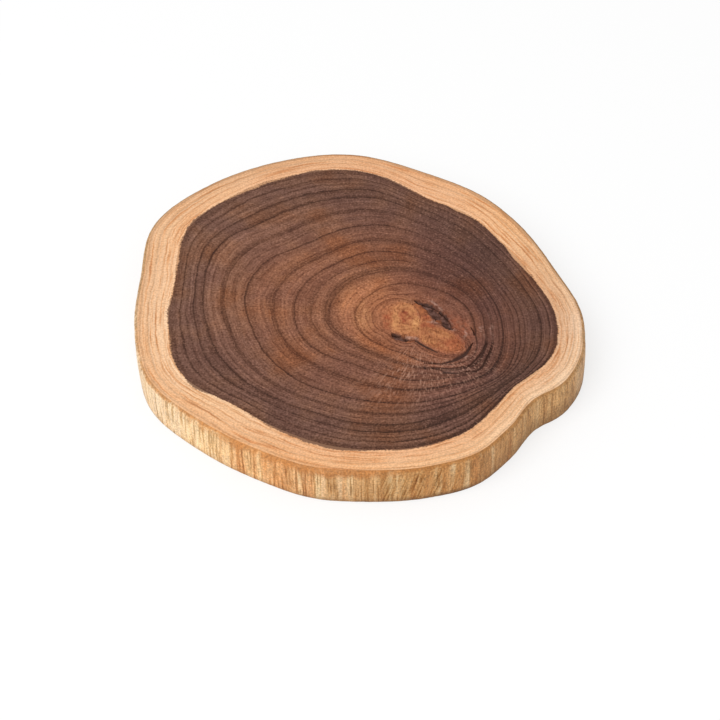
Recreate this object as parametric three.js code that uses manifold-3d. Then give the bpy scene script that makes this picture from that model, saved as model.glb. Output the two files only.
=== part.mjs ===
// A live edge cutting board: one slice sawn across a forked trunk, stripped of its bark and sanded flat.
// The slice is laid out as the tree grew it: a pale sapwood rim, the dark heartwood inside it, and in the
// heartwood a knot of two piths with a pocket of trapped bark at each end of the seam between them.
// Millimetres, +Z up. The origin is under the middle of the board, on the surface that it lies on.
import * as THREE from "three";
import { mergeVertices } from "three/addons/utils/BufferGeometryUtils.js";
import Module from "manifold-3d";

// The slice
const BOARD_WIDTH = 255; // left to right
const BOARD_DEPTH = 263; // front to back
const BOARD_THICKNESS = 24;
const GROWTH_GAP = 0.3; // between neighbouring growth zones, which are one wood on the tree

// The live edge
const TOP_ROUND = 2.5; // sanded round on the upper arris
const UNDERSIDE_ROUND = 1; // eased on the lower arris
const PROUD_DROP = 9; // the edge stands proudest this far below the top face
const TOP_INSET = 0.4; // drawn in from there at the top face
const UNDERSIDE_INSET = 0.4; // and at the underside, where the trunk was thinner
const GRAIN_LEAN = 0.8; // the trunk leans to the left by this much over the board's thickness
const FLUTE_DEPTH = 0.4; // low flutes under the stripped bark
const FLUTE_COUNTS = [11, 17]; // flutes round the edge, in two trains that drift past each other

// The sapwood
const SAPWOOD_WIDTH = 16; // to the right of the pith

// The knot: the piths of two stems that grew together, each an oval, and ovals of bark that the stems
// trapped in the crotches above and below their seam. The left stem cuts into the right one, and both cut
// into the bark. A middle is measured from the point that the live edge's reach starts at.
const LEFT_PITH = { x: -15.5, y: 8, length: 28, width: 25, turn: 105 };
const RIGHT_PITH = { x: 8.5, y: -9.5, length: 37, width: 22.5, turn: -37 };
const UPPER_POCKET = { x: 3, y: 8, length: 29, width: 14.5, turn: -47 };
const LOWER_POCKET = { x: -12, y: -5.5, length: 16, width: 11, turn: -33 };
const POCKET_RECESS = 1.5; // the bark lies below the sanded faces

// The wood that the right stem grew over the seam, an oval between the stems, across the line between them.
const SEAM_LENGTH = 25;
const SEAM_WIDTH = 11;
const SEAM_RISE = 1; // its middle lies this far from the line, towards the upper pocket

// Facets
const RIM_STEPS = 192;
const KNOT_STEPS = 72;
const ROUND_STEPS = 4;
const SIDE_STEPS = 5;

// The live edge's form: its reach from the pith at equal turns, anticlockwise from the right. The outline
// is stretched to the board's width and depth. The low values near the end are the notch at the front right.
const RIM_REACH = [
  90, 90, 90, 96.5, 108, 122, 136.5, 157, 168.5, 176.5, 181, 168.5,
  163.5, 159.5, 145, 133, 124.5, 114.5, 107.5, 101.5, 90.5, 83, 88.5, 90.5,
];

// Width of the sapwood at the same turns, measured towards the pith, as shares of SAPWOOD_WIDTH.
const SAPWOOD_SHARE = [
  1, 1, 1, 1.15, 1.35, 1.4, 1.55, 1.15, 1.1, 1.15, 1.35, 1.35,
  1.25, 1.25, 1.5, 1.35, 1.25, 1.1, 1.1, 1.2, 1.15, 1, 1.15, 1.05,
];

const wasm = await Module();
wasm.setup();

// A smooth closed run through a list of values, read at a share of the full turn.
function cyclic(values, turn) {
  const count = values.length;
  const at = turn * count;
  const start = Math.floor(at);
  const t = at - start;
  const [a, b, c, d] = [-1, 0, 1, 2].map((k) => values[(start + k + count) % count]);
  return b + 0.5 * t * (c - a + t * (2 * a - 5 * b + 4 * c - d + t * (3 * (b - c) + d - a)));
}

// One point for each of a number of equal turns.
function around(count, pointAt) {
  return Array.from({ length: count }, (_, i) => pointAt(i / count));
}

function polar(reach, turn) {
  return new THREE.Vector2(reach * Math.cos(2 * Math.PI * turn), reach * Math.sin(2 * Math.PI * turn));
}

// The live edge round the pith, stretched to the board's width and depth.
function rimOutline() {
  const traced = around(RIM_STEPS, (turn) => polar(cyclic(RIM_REACH, turn), turn));
  const size = new THREE.Box2().setFromPoints(traced).getSize(new THREE.Vector2());
  const stretch = new THREE.Vector2(BOARD_WIDTH, BOARD_DEPTH).divide(size);
  return traced.map((p) => p.multiply(stretch));
}

// An outline moved towards the pith by a width that varies round it.
function towardsPith(outline, widthAt) {
  return outline.map((p, i) => p.clone().setLength(p.length() - widthAt(i / outline.length)));
}

// Unit normals that point out of an anticlockwise outline.
function outwards(outline) {
  const count = outline.length;
  return outline.map((_, i) => {
    const along = outline[(i + 1) % count].clone().sub(outline[(i + count - 1) % count]).normalize();
    return new THREE.Vector2(along.y, -along.x);
  });
}

// How far the live edge lies inside its outline at a height, before its arrises are rounded.
function sideInset(height) {
  const proud = BOARD_THICKNESS - PROUD_DROP;
  const away = height - proud;
  return away > 0 ? TOP_INSET * (away / PROUD_DROP) ** 2 : UNDERSIDE_INSET * (away / proud) ** 2;
}

// Depth of the flutes at a turn and a height. The two trains lean opposite ways.
function flute(turn, height) {
  const lean = height / BOARD_THICKNESS;
  const [first, second] = FLUTE_COUNTS.map((count) => 2 * Math.PI * count * turn);
  return FLUTE_DEPTH * (0.5 - 0.25 * (Math.sin(first + lean) + Math.sin(second - lean)));
}

// Heights and insets up the live edge: round the lower arris, up the side, round the upper arris.
function edgeProfile() {
  const steps = (count) => Array.from({ length: count + 1 }, (_, k) => k / count);
  const arris = (radius) =>
    steps(ROUND_STEPS).map((t) => ({
      height: radius * (1 - Math.cos((t * Math.PI) / 2)),
      round: radius * (1 - Math.sin((t * Math.PI) / 2)),
    }));
  const side = steps(SIDE_STEPS).slice(1, -1).map((t) => ({
    height: THREE.MathUtils.lerp(UNDERSIDE_ROUND, BOARD_THICKNESS - TOP_ROUND, t),
    round: 0,
  }));
  const upper = arris(TOP_ROUND).map(({ height, round }) => ({ height: BOARD_THICKNESS - height, round }));
  return [...arris(UNDERSIDE_ROUND), ...side, ...upper.reverse()];
}

// A ring-shaped solid lofted through closed loops of points, the last one joined to the first.
function loftRing(sections) {
  const count = sections[0].length;
  const positions = sections.flat().flatMap((p) => p.toArray());
  const triangles = sections.flatMap((_, s) => {
    const [here, next] = [s * count, ((s + 1) % sections.length) * count];
    return around(count, (turn) => {
      const i = Math.round(turn * count);
      const j = (i + 1) % count;
      return [here + i, here + j, next + j, here + i, next + j, next + i];
    }).flat();
  });
  return new THREE.BufferGeometry()
    .setAttribute("position", new THREE.Float32BufferAttribute(positions, 3))
    .setIndex(triangles);
}

// A straight prism on an outline, from one height to another.
function prism(outline, from, to) {
  const shape = new THREE.Shape(outline);
  return new THREE.ExtrudeGeometry(shape, { depth: to - from, bevelEnabled: false }).translate(0, 0, from);
}

function solidOf(geometry) {
  const bare = geometry.clone().deleteAttribute("normal").deleteAttribute("uv");
  const merged = mergeVertices(bare);
  const vertProperties = new Float32Array(merged.attributes.position.array);
  const triVerts = new Uint32Array(merged.index.array);
  return new wasm.Manifold(new wasm.Mesh({ numProp: 3, vertProperties, triVerts }));
}

function geometryOf(solid) {
  const { vertProperties, triVerts } = solid.getMesh();
  return new THREE.BufferGeometry()
    .setAttribute("position", new THREE.BufferAttribute(vertProperties, 3))
    .setIndex(new THREE.BufferAttribute(triVerts, 1));
}

// An oval of the knot, grown all round by a clearance.
function oval({ x, y, length, width, turn }, clearance) {
  const half = new THREE.Vector2(length / 2 + clearance, width / 2 + clearance);
  const middle = new THREE.Vector2(x, y);
  const turned = THREE.MathUtils.degToRad(turn);
  return around(KNOT_STEPS, (share) => {
    const p = polar(1, share).multiply(half).add(middle);
    return p.rotateAround(middle, turned);
  });
}

// An oval of the knot as a solid through the board, or drawn in by a recess at both faces.
function ovalSolid(size, clearance = 0, recess = 0) {
  return solidOf(prism(oval(size, clearance), recess, BOARD_THICKNESS - recess));
}

// A solid cut back from the ovals of the knot that it yields to, so that a growth gap parts them.
function cutBack(solid, ovals) {
  return ovals.reduce((rest, size) => rest.subtract(ovalSolid(size, GROWTH_GAP)), solid);
}

// The oval over the seam between two stems.
function seamBetween(left, right) {
  const turn = THREE.MathUtils.radToDeg(Math.atan2(right.y - left.y, right.x - left.x)) + 90;
  const rise = polar(SEAM_RISE, turn / 360);
  const x = (left.x + right.x) / 2 + rise.x;
  const y = (left.y + right.y) / 2 + rise.y;
  return { x, y, length: SEAM_LENGTH, width: SEAM_WIDTH, turn };
}

// The sapwood rim: the live edge outside, the heartwood's boundary inside, both faces flat.
function sapwoodRim() {
  const normals = outwards(rim);
  const edge = edgeProfile().map(({ height, round }) =>
    rim.map((p, i) => {
      const inset = round + sideInset(height) + flute(i / RIM_STEPS, height);
      const q = p.clone().addScaledVector(normals[i], -inset);
      return new THREE.Vector3(q.x, q.y, height);
    }),
  );
  const wall = [BOARD_THICKNESS, 0].map((height) => boundary.map((p) => new THREE.Vector3(p.x, p.y, height)));
  return loftRing([...edge, ...wall]);
}

// The heartwood: a flat disc with a through hole of the knot's outline.
function heartwoodDisc() {
  const disc = solidOf(prism(towardsPith(boundary, () => GROWTH_GAP), 0, BOARD_THICKNESS));
  return cutBack(disc, [...stems, UPPER_POCKET, LOWER_POCKET]);
}

// The right pith with the wood over the seam, cut back from the left one.
function rightPith() {
  return cutBack(ovalSolid(RIGHT_PITH).add(ovalSolid(seam)), [LEFT_PITH]);
}

// A pocket of bark: what the stems leave of its oval, below both faces.
function barkPocket(size) {
  return cutBack(ovalSolid(size, 0, POCKET_RECESS), stems);
}

// Leans the grain: what lies higher in the trunk lies further to the left.
function leant(geometry) {
  return geometry.applyMatrix4(new THREE.Matrix4().makeShear(0, 0, 0, 0, -GRAIN_LEAN / BOARD_THICKNESS, 0));
}

const rim = rimOutline();
const boundary = towardsPith(rim, (turn) => SAPWOOD_WIDTH * cyclic(SAPWOOD_SHARE, turn));
const seam = seamBetween(LEFT_PITH, RIGHT_PITH);
const stems = [LEFT_PITH, RIGHT_PITH, seam];
const board = new THREE.Group();
const addPiece = (name, geometry, finish) => {
  const mesh = new THREE.Mesh(leant(geometry), new THREE.MeshStandardMaterial({ ...finish, metalness: 0 }));
  mesh.name = name;
  board.add(mesh);
};
const addSolid = (name, solid, finish) => addPiece(name, geometryOf(solid), finish);
addPiece("sapwood_rim", sapwoodRim(), { color: 0xe0ad76, roughness: 0.6 });
addSolid("heartwood", heartwoodDisc(), { color: 0x6b4a3d, roughness: 0.55 });
addSolid("left_pith", ovalSolid(LEFT_PITH), { color: 0xbd8a57, roughness: 0.6 });
addSolid("right_pith", rightPith(), { color: 0xab6a3e, roughness: 0.6 });
addSolid("upper_bark_pocket", barkPocket(UPPER_POCKET), { color: 0x3a2c28, roughness: 0.85 });
addSolid("lower_bark_pocket", barkPocket(LOWER_POCKET), { color: 0x46342d, roughness: 0.85 });

// The pieces are laid out round the pith, and the group brings the middle of the underside to the origin.
const middle = new THREE.Box3().setFromObject(board).getCenter(new THREE.Vector3());
board.position.set(-middle.x, -middle.y, 0);

export default board;
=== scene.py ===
"""The looks of a live edge cutting board, a sanded slice of a forked trunk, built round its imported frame."""
import logging
import math
from collections import Counter
from collections.abc import Callable, Sequence
from dataclasses import dataclass
from enum import Enum
from functools import partial

import bpy
import numpy as np
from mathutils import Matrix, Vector, noise


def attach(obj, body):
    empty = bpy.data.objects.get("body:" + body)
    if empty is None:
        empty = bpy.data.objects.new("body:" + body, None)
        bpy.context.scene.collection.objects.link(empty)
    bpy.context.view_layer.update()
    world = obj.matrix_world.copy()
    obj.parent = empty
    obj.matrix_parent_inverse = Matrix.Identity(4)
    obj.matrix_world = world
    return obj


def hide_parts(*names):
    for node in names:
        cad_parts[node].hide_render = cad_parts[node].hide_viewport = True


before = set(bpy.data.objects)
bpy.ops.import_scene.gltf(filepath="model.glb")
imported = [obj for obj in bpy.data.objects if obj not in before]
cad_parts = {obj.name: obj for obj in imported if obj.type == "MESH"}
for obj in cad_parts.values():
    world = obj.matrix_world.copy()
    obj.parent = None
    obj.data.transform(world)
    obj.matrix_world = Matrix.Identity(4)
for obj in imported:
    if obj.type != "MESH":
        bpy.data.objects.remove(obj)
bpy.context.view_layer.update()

MM = 0.001
FULL_TURN = 2 * math.pi
GROWTH_GAP = 0.3
LOG = logging.getLogger("cutting_board")
Colour = tuple[float, float, float, float]
Array = np.ndarray
Node = bpy.types.Node
Material = bpy.types.Material
Piece = bpy.types.Object
# Settings of mixing nodes, for one colour laid over another and for one multiplied by another, and of sums.
BLEND = {"data_type": "RGBA"}
TINT = {"data_type": "RGBA", "blend_type": "MULTIPLY"}
TIMES = {"operation": "MULTIPLY"}
TIMES_PLUS = {"operation": "MULTIPLY_ADD"}
PLUS = {"operation": "ADD"}

# Reach of five growth rings from the growth centre, in millimetres, at every 15 degrees anticlockwise from
# the right. A ring is known by its age, which is its reach at the far left, where growth was quickest.
RING_42 = (28.5, 28.5, 29, 30, 31.5, 33, 34.5, 38, 40.5, 41.3, 42, 41,
           38.5, 34.5, 29, 26.5, 25, 26, 28, 30.5, 33.5, 35, 33, 29.5)
RING_58 = (34, 34.5, 35, 36.5, 38.5, 41, 44.5, 50.5, 54, 57.5, 58.5, 57.5,
           52.5, 43, 37.5, 33, 32, 31.5, 32, 34.5, 38, 40, 37.5, 35.5)
RING_77 = (38.4, 38.9, 40.2, 43, 47, 51, 57, 65.5, 72, 74.2, 77, 77,
           72.8, 65.5, 53.5, 47, 44.5, 43, 41.5, 41.5, 43.5, 44.5, 41.6, 39.5)
RING_106 = (50, 50.5, 51.5, 54, 59, 66, 77, 89, 95, 97.5, 106, 106,
            97.5, 90.5, 82.5, 73.5, 66.5, 61.5, 57.5, 55.5, 54.5, 55.5, 54.5, 52)
RING_136 = (61.5, 61.5, 62, 65, 71.5, 82, 96, 114, 123.5, 128.5, 136.5, 130.5,
            122, 114, 102.5, 91, 84, 78, 71.5, 65, 61.5, 60.5, 62, 62)


def linear(code: str) -> Colour:
    """Turn an sRGB hex colour into linear light.

    Args:
        code: The colour as a hash sign and six hex digits.

    Returns:
        Red, green, blue and an alpha of 1.
    """
    shares = [int(code[i:i + 2], 16) / 255 for i in (1, 3, 5)]
    red, green, blue = (s / 12.92 if s <= 0.04045 else ((s + 0.055) / 1.055) ** 2.4 for s in shares)
    return red, green, blue, 1.0


def add_node(tree: bpy.types.NodeTree, kind: str, inputs: dict | tuple = (), **settings: object) -> Node:
    """Add a shader node with its settings and links.

    Args:
        tree: The node tree to add to.
        kind: The node's type, without its ShaderNode prefix.
        inputs: Values, sockets or nodes, by input name or in the order of the inputs in use. A node gives its
            first usable output.
        settings: Properties by name. Stops are a colour ramp's colours or grey levels by their places.

    Returns:
        The new node.
    """
    node = tree.nodes.new("ShaderNode" + kind)
    stops = settings.pop("stops", {})
    for name, value in settings.items():
        setattr(node, name, value)
    for _ in range(len(stops) - 2):
        node.color_ramp.elements.new(1.0)
    for element, (place, tone) in zip(node.color_ramp.elements if stops else (), stops.items()):
        element.position = place
        element.color = linear(tone) if isinstance(tone, str) else (tone, tone, tone, 1.0)
    usable = [socket for socket in node.inputs if not socket.is_unavailable]
    by_name = {socket.name: socket for socket in reversed(usable)}
    named = isinstance(inputs, dict)
    sockets = [by_name[name] for name in inputs] if named else usable
    for socket, value in zip(sockets, inputs.values() if named else inputs):
        if isinstance(value, Node):
            value = next(output for output in value.outputs if not output.is_unavailable)
        if isinstance(value, bpy.types.NodeSocket):
            tree.links.new(value, socket)
        else:
            socket.default_value = value
    return node


def new_material(name: str) -> tuple[Material, Callable]:
    """Begin a material, and give it with the function that adds nodes to it."""
    material = bpy.data.materials.new(name)
    material.use_nodes = True
    material.node_tree.nodes.clear()
    return material, partial(add_node, material.node_tree)


def between(a: Array, b: Array, c: Array, d: Array, t: Array) -> Array:
    """Give what lies a share t of the way from b to c on a smooth run through a, b, c and d."""
    return b + 0.5 * t * (c - a + t * (2 * a - 5 * b + 4 * c - d + t * (3 * (b - c) + d - a)))


def smooth_cycle(values: Array, turn: Array) -> Array:
    """Read a smooth closed run through equally spaced values.

    Args:
        values: Values at equal shares of a full turn.
        turn: Where to read, in full turns.

    Returns:
        The values of the run there.
    """
    count = len(values)
    at = np.asarray(turn) * count
    start = np.floor(at).astype(int)
    t = at - start
    return between(*(values[(start + k) % count] for k in (-1, 0, 1, 2)), t)


def smooth_line(points: Array, steps: int) -> Array:
    """Draw a smooth open line through points.

    Args:
        points: The points, one to a row.
        steps: How many steps to take from each point to the next.

    Returns:
        The points of the smooth line.
    """
    padded = np.vstack([2 * points[0] - points[1], points, 2 * points[-1] - points[-2]])
    fours = zip(padded, padded[1:], padded[2:], padded[3:])
    line = [between(*four, t) for four in fours for t in np.arange(steps) / steps]
    return np.array([*line, points[-1]])


def smooth_out(run: Array, passes: int) -> Array:
    """Smooth a closed run of values so many times, each value by its neighbours."""
    for _ in range(passes):
        run = (np.roll(run, 1) + 2 * run + np.roll(run, -1)) / 4
    return run


def ease(low: float, high: float, value: Array) -> Array:
    """Rise smoothly from 0 at a low value to 1 at a high one."""
    t = np.clip((value - low) / (high - low), 0.0, 1.0)
    return t * t * (3 - 2 * t)


def corners(piece: Piece) -> Array:
    """Give the corners of a piece, in millimetres."""
    places = np.empty(len(piece.data.vertices) * 3)
    piece.data.vertices.foreach_get("co", places)
    return places.reshape(-1, 3) / MM


def move_corners(piece: Piece, points: Array) -> None:
    """Move the corners of a piece to points in millimetres."""
    piece.data.vertices.foreach_set("co", points.ravel() * MM)
    piece.data.update()


def node_points(name: str) -> Array:
    """Give the different corners of a CAD node, in millimetres."""
    return np.unique(np.round(corners(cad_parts[name]), 4), axis=0)


@dataclass(frozen=True)
class GrowthMap:
    """The tree's growth: where its centre ran and how far each of its rings reached, in millimetres."""

    centre: tuple[float, float] = (36.9, -20.85)
    thickness: float = 24.0
    lean: float = 0.8
    knot_age: float = 29.0
    heartwood_age: float = 159.5
    rim_age: float = 181.0
    columns: int = 1440
    smoothing: int = 6
    # Heartwood corners nearer than this are the socket's, and the live edge is read between these heights.
    socket_reach: float = 50.0
    proud_heights: tuple[float, float] = (12.0, 15.0)
    rings: tuple[tuple[float, tuple[float, ...]], ...] = (
        (42.0, RING_42), (58.5, RING_58), (77.0, RING_77), (106.0, RING_106), (136.5, RING_136))

    def middle(self, height: Array) -> Array:
        """Give the growth centre at each height, leaning as the trunk did."""
        across = self.centre[0] + self.lean * (1 - np.asarray(height) / self.thickness)
        return np.stack([across, np.full_like(across, self.centre[1])], axis=-1)

    def polar(self, points: Array) -> tuple[Array, Array]:
        """Give the bearing, in turns, and the reach of points from the growth centre at their height."""
        away = points[:, :2] - self.middle(points[:, 2])
        return np.arctan2(away[:, 1], away[:, 0]) / FULL_TURN % 1.0, np.hypot(away[:, 0], away[:, 1])

    def loop(self, points: Array) -> Array:
        """Turn a loop of CAD corners into reaches at equal bearings.

        Args:
            points: The loop's corners, in any order.

        Returns:
            The reach at each bearing, with the corners' facets smoothed away.
        """
        turn, reach = self.polar(points)
        order = np.argsort(turn)
        at = np.arange(self.columns) / self.columns
        run = np.interp(at, turn[order], reach[order], period=1.0)
        return smooth_out(run, self.smoothing)

    def place(self, reach: Array, height: float) -> Array:
        """Give the points of a loop of reaches at a height."""
        turn = np.arange(len(reach)) / len(reach) * FULL_TURN
        middle = self.middle(np.full(len(reach), height))
        flat = middle + reach[:, None] * np.stack([np.cos(turn), np.sin(turn)], axis=-1)
        return np.column_stack([flat, np.full(len(reach), height)])

    def top_loops(self) -> tuple[Array, Array, Array]:
        """Give the reaches of the knot's socket, of the heartwood and of the live edge."""
        heart = node_points("heartwood")
        face = heart[heart[:, 2] > self.thickness - 0.01]
        _, reach = self.polar(face)
        outer = reach > self.socket_reach
        rim = node_points("sapwood_rim")
        low, high = self.proud_heights
        proud = rim[(rim[:, 2] > low) & (rim[:, 2] < high)]
        return self.loop(face[~outer]), self.loop(face[outer]), self.loop(proud)

    def ages(self, points: Array) -> Array:
        """Give the age of the ring that each point lies on."""
        turn, reach = self.polar(points)
        socket, heart, rim = (smooth_cycle(loop, turn) for loop in self.top_loops())
        keys = [(0.0, np.zeros_like(turn)), (self.knot_age, socket)]
        keys += [(age, smooth_cycle(np.array(ring, float), turn)) for age, ring in self.rings]
        keys += [(self.heartwood_age, heart), (self.rim_age, rim)]
        found = np.zeros_like(reach)
        for (young, near), (old, far) in zip(keys, keys[1:]):
            found = np.where(reach >= near, young + (old - young) * (reach - near) / (far - near), found)
        return found


def set_attribute(piece: Piece, name: str, values: Array) -> None:
    """Keep a number for each corner of a piece, for its finish to read."""
    attribute = piece.data.attributes.new(name, "FLOAT", "POINT")
    attribute.data.foreach_set("value", np.asarray(values, np.float32))


def select_only(piece: Piece) -> None:
    """Make a piece the active one and the only one selected."""
    bpy.ops.object.select_all(action="DESELECT")
    piece.select_set(True)
    bpy.context.view_layer.objects.active = piece


def apply_modifier(piece: Piece, kind: str, **settings: object) -> None:
    """Add a modifier with its settings to the active piece and apply it."""
    modifier = piece.modifiers.new(kind, kind)
    for name, value in settings.items():
        setattr(modifier, name, value)
    bpy.ops.object.modifier_apply(modifier=modifier.name)


def add_ring(name: str, sections: Sequence[Array]) -> Piece:
    """Add an open tube, cut it into rows, close it on itself and draw it onto a ring-shaped piece.

    Args:
        name: The piece's name.
        sections: Loops of points in millimetres, from the outer side over the top and back underneath.

    Returns:
        The piece.
    """
    rows, columns = len(sections), len(sections[0])
    bpy.ops.object.select_all(action="DESELECT")
    bpy.ops.mesh.primitive_cylinder_add(vertices=columns, radius=1.0, depth=1.0, end_fill_type="NOTHING")
    piece = bpy.context.object
    piece.name = name
    bpy.ops.object.mode_set(mode="EDIT")
    bpy.ops.mesh.select_mode(type="EDGE")
    bpy.ops.mesh.select_all(action="SELECT")
    bpy.ops.mesh.select_non_manifold(extend=False)
    bpy.ops.mesh.select_all(action="INVERT")
    bpy.ops.mesh.subdivide(number_cuts=rows - 2)
    bpy.ops.mesh.select_all(action="DESELECT")
    bpy.ops.mesh.select_non_manifold()
    bpy.ops.mesh.bridge_edge_loops()
    bpy.ops.object.mode_set(mode="OBJECT")
    tube = corners(piece) * MM
    row = np.round((tube[:, 2] + 0.5) * (rows - 1)).astype(int)
    column = np.round(np.arctan2(tube[:, 1], tube[:, 0]) / FULL_TURN * columns).astype(int) % columns
    move_corners(piece, np.stack(sections)[row, column])
    return piece


def add_plug(name: str, sections: Sequence[Array]) -> Piece:
    """Add a ball and draw it onto the sections of a plug-shaped piece.

    Args:
        name: The piece's name.
        sections: Loops of points in millimetres from the top pole to the bottom one, poles included.

    Returns:
        The piece.
    """
    rings = len(sections) - 1
    segments = len(sections[0])
    bpy.ops.object.select_all(action="DESELECT")
    bpy.ops.mesh.primitive_uv_sphere_add(segments=segments, ring_count=rings, radius=1.0)
    piece = bpy.context.object
    piece.name = name
    ball = corners(piece) * MM
    row = np.round(np.arccos(np.clip(ball[:, 2], -1, 1)) / math.pi * rings).astype(int)
    column = np.round(np.arctan2(ball[:, 1], ball[:, 0]) / FULL_TURN * segments).astype(int) % segments
    move_corners(piece, np.stack(sections)[row, column])
    return piece


@dataclass
class GrownPiece:
    """A growth zone of the board, which stands for one CAD node."""

    growth: GrowthMap
    node: str
    slot: str

    def finish(self, piece: Piece, material: Material, sharp: float) -> Piece:
        """Shade and dress a piece and set it in the frame.

        Args:
            piece: The modelled piece.
            material: Its finish.
            sharp: The angle, in degrees, past which an edge stays sharp.

        Returns:
            The piece.
        """
        select_only(piece)
        bpy.ops.object.shade_smooth_by_angle(angle=math.radians(sharp))
        piece.data.materials.clear()
        piece.data.materials.append(material)
        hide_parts(self.node)
        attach(piece, "root")
        LOG.info("%s stands for %s, %d faces", piece.name, self.node, len(piece.data.polygons))
        return piece


@dataclass
class SapwoodRim(GrownPiece):
    """The pale ring of sapwood, with the live edge that the stripped bark left."""

    top_round: float = 2.5
    underside_round: float = 1.0
    side_rows: int = 24
    arris_rows: int = 7
    face_rows: int = 9
    sharp: float = 50.0
    # The live edge begins within these shares of the upper and the lower round.
    bare_below: float = 0.13
    bare_above: float = 0.5
    # How deep, how wide and how long the hollows, the ridges and the fibres are.
    streaks: tuple[tuple[float, float, float], ...] = ((0.3, 16, 70), (0.22, 4, 60), (0.12, 1.6, 24))

    def side_outlines(self) -> Callable[[float], Array]:
        """Fit the CAD node's side, so that its outline can be read at any height."""
        rim = node_points(self.node)
        low, high = self.underside_round, self.growth.thickness - self.top_round
        levels = [z for z in np.unique(rim[:, 2]) if low - 0.01 < z < high + 0.01]
        loops = np.stack([self.growth.loop(rim[rim[:, 2] == z]) for z in levels])
        fit = np.polyfit(np.array(levels), loops, 3)
        return lambda height: sum(c * height ** p for c, p in zip(fit, (3, 2, 1, 0)))

    def relief(self, points: Array) -> Array:
        """Give how deep the live edge lies in its hollows, between its ridges and between its fibres.

        Args:
            points: Points of the smooth side, in millimetres.

        Returns:
            Depths below the smooth side, in millimetres.
        """
        found = np.zeros(len(points))
        for depth, width, length in self.streaks:
            seeds = points / np.array([width, width, length])
            found += depth * np.array([0.5 + 0.5 * noise.noise(Vector(p)) for p in seeds])
        return found

    def build(self, material: Material) -> Piece:
        """Model the ring and dress it.

        Args:
            material: The finish of the ring.

        Returns:
            The piece.
        """
        growth = self.growth
        top = growth.thickness
        side = self.side_outlines()
        boundary = growth.top_loops()[1] + GROWTH_GAP / 2
        steps = np.linspace(0, 1, self.side_rows + 1)
        heights = self.underside_round + steps * (top - self.top_round - self.underside_round)
        flat = [growth.place(side(z), z) for z in heights]
        along = np.roll(flat[0], -1, axis=0) - np.roll(flat[0], 1, axis=0)
        normal = np.column_stack([along[:, 1], -along[:, 0], np.zeros(len(along))])
        normal /= np.linalg.norm(normal, axis=1)[:, None]
        rows = [p - normal * self.relief(p)[:, None] for p in flat]
        bends = np.linspace(0, math.pi / 2, self.arris_rows + 1)[1:]
        turns = [(1 - math.cos(b), math.sin(b)) for b in bends]
        up = np.array([0, 0, 1.0])
        upper = [rows[-1] + self.top_round * (up * rise - normal * inset) for inset, rise in turns]
        lower = [rows[0] - self.underside_round * (up * rise + normal * inset) for inset, rise in turns]
        shares = np.linspace(0, 1, self.face_rows + 1)[1:]
        inner_top, inner_low = growth.place(boundary, top), growth.place(boundary, 0.0)
        face = [upper[-1] + (inner_top - upper[-1]) * s for s in shares]
        sole = [lower[-1] + (inner_low - lower[-1]) * s for s in shares]
        half = self.side_rows // 2
        sections = [*rows[half:], *upper, *face, *sole[::-1], *lower[::-1], *rows[:half]]
        piece = add_ring("live_edge_sapwood", sections)
        points = corners(piece)
        set_attribute(piece, "growth", growth.ages(points))
        below = (top - points[:, 2]) / self.top_round
        above = points[:, 2] / self.underside_round
        bare = ease(0.0, self.bare_below, below) * ease(0.0, self.bare_above, above)
        set_attribute(piece, "bare_edge", bare)
        return self.finish(piece, material, self.sharp)


@dataclass(frozen=True)
class Oval:
    """An oval of the knot, its middle measured from the growth centre, in millimetres and degrees."""

    x: float
    y: float
    length: float
    width: float
    turn: float

    def distance(self, away: Array) -> Array:
        """Give how far points lie from the middle, as shares of the way to the oval's outline."""
        turned = math.radians(self.turn)
        shifted = away - np.array([self.x, self.y])
        along = shifted @ np.array([math.cos(turned), math.sin(turned)])
        across = shifted @ np.array([-math.sin(turned), math.cos(turned)])
        return np.hypot(along / (self.length / 2), across / (self.width / 2))


# A dark line's points with its half width at each, and patches of colour with the strength of each.
Line = tuple[tuple[float, float, float], ...]
Patches = tuple[tuple[float, Oval], ...]


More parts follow.
